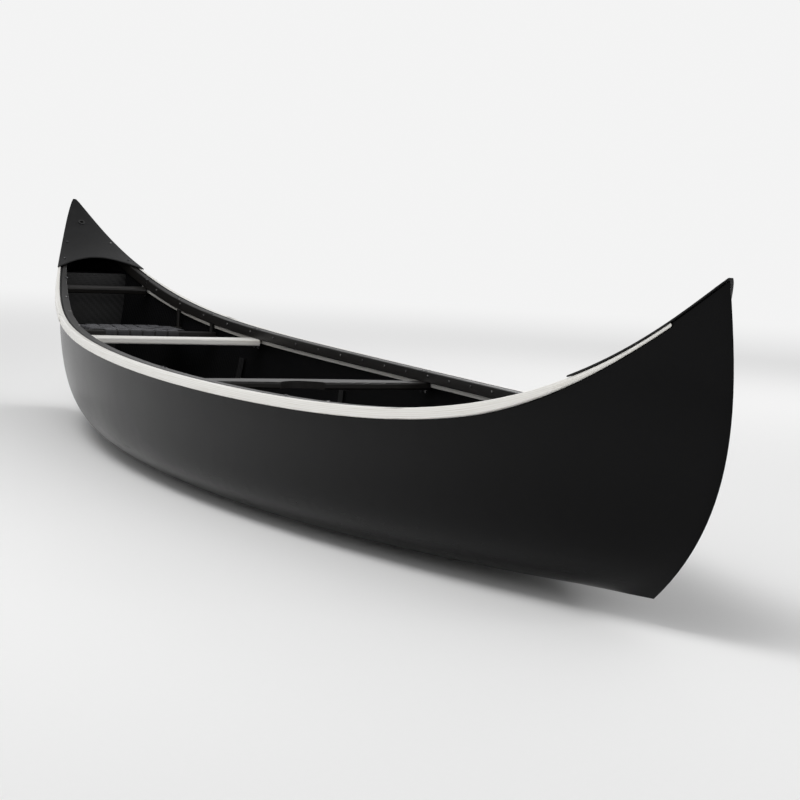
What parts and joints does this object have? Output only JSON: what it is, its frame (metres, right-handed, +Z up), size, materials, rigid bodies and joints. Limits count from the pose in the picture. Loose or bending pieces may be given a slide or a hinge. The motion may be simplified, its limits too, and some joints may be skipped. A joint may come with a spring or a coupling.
{
  "type": "canoe",
  "caption": "Open double-ended canoe with high swept ends, black hull, pale gunwale strips, one pale thwart, dark yoke and hung seats.",
  "frame": {"origin": "on the floor under the middle of the keel", "axes": "+X along the keel to the bow, +Y to port, +Z up"},
  "size_m": [4.8786, 0.8942, 0.7608],
  "materials": {
    "hull_laminate": "polished black gelcoat outside, dark woven laminate inside",
    "lining_laminate": "satin black resin over woven cloth",
    "white_ash": "white-stained ash, satin varnish",
    "black_ash": "black-stained ash, satin varnish",
    "deck_shell": "black moulded deck, fine pebble grain",
    "webbing": "woven black strap",
    "stainless": "blackened stainless steel, worn bright at the edges",
    "foam": "closed-cell foam",
    "tube_plastic": "satin black plastic"
  },
  "bodies": {
    "root": {"carry_handle_bow": "black_ash", "carry_handle_stern": "black_ash", "centre_yoke": "black_ash", "crossbar_bolts": "stainless", "crossbar_nuts": "stainless", "crossbar_washers": "stainless", "deck_bow": "deck_shell", "deck_screws": "stainless", "deck_stern": "deck_shell", "floor_core": "lining_laminate", "gunwale_screws_port": "stainless", "gunwale_screws_starboard": "stainless", "handle_bolts": "stainless", "handle_nuts": "stainless", "handle_washers": "stainless", "hull_shell": "hull_laminate", "inwale_bead_port": "white_ash", "inwale_bead_starboard": "white_ash", "inwale_port": "black_ash", "inwale_starboard": "black_ash", "outwale_port": "white_ash", "outwale_starboard": "white_ash", "painter_bush_bow": "tube_plastic", "painter_bush_stern": "tube_plastic", "seat_bow_aft_rail": "black_ash", "seat_bow_bolts": "stainless", "seat_bow_forward_rail": "black_ash", "seat_bow_nuts": "stainless", "seat_bow_side_rail_port": "black_ash", "seat_bow_side_rail_starboard": "black_ash", "seat_bow_spacers": "black_ash", "seat_bow_washers": "stainless", "seat_bow_webbing": "webbing", "seat_stern_aft_rail": "black_ash", "seat_stern_bolts": "stainless", "seat_stern_forward_rail": "black_ash", "seat_stern_nuts": "stainless", "seat_stern_side_rail_port": "black_ash", "seat_stern_side_rail_starboard": "black_ash", "seat_stern_spacers": "black_ash", "seat_stern_washers": "stainless", "seat_stern_webbing": "webbing", "side_rib_1_port": "lining_laminate", "side_rib_1_starboard": "lining_laminate", "side_rib_2_port": "lining_laminate", "side_rib_2_starboard": "lining_laminate", "side_rib_3_port": "lining_laminate", "side_rib_3_starboard": "lining_laminate", "side_rib_4_port": "lining_laminate", "side_rib_4_starboard": "lining_laminate", "tank_bulkhead_bow": "lining_laminate", "tank_bulkhead_stern": "lining_laminate", "tank_foam_bow": "foam", "tank_foam_stern": "foam", "tank_top_bow": "lining_laminate", "tank_top_stern": "lining_laminate", "thwart_stern": "white_ash"}
  },
  "joints": []
}
